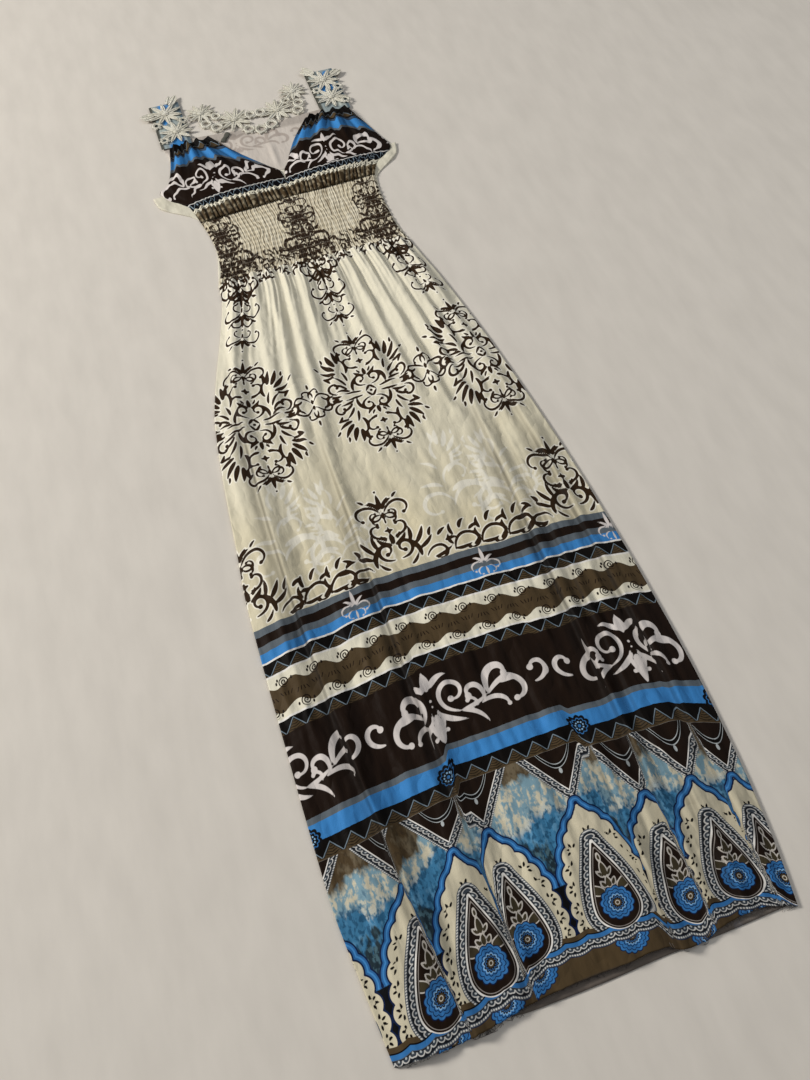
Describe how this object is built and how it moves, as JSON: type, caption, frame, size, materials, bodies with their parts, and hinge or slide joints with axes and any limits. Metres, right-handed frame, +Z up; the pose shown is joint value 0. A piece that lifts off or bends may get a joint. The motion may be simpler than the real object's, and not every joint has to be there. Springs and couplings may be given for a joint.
{
  "type": "maxi dress",
  "caption": "Long sleeveless dress laid flat: gathered cups, smocked waist, straight printed skirt, lace trim on straps and back neck.",
  "frame": {"origin": "centre of the dress's outline on the floor that it lies on", "axes": "+Y from the hem to the shoulders, +X across the dress to its right as seen from above, +Z up from the floor"},
  "size_m": [0.418, 1.326, 0.0131],
  "materials": {
    "skirt_cloth": "printed silky jersey, soft sheen",
    "waist_cloth": "smocked printed jersey, soft sheen",
    "bodice_cloth": "printed silky jersey, soft sheen",
    "strap_cloth": "printed silky jersey, soft sheen",
    "lace": "matte corded lace"
  },
  "bodies": {
    "root": {"skirt_back": "skirt_cloth", "skirt_front": "skirt_cloth", "waist_back": "waist_cloth", "waist_front": "waist_cloth", "bodice_back": "bodice_cloth", "cup_left": "bodice_cloth", "cup_right": "bodice_cloth", "neck_edge_left": "strap_cloth", "strap_left": "strap_cloth", "strap_right": "strap_cloth", "lace_neck_back": "lace", "lace_strap_left": "lace", "lace_strap_right": "lace"}
  },
  "joints": []
}
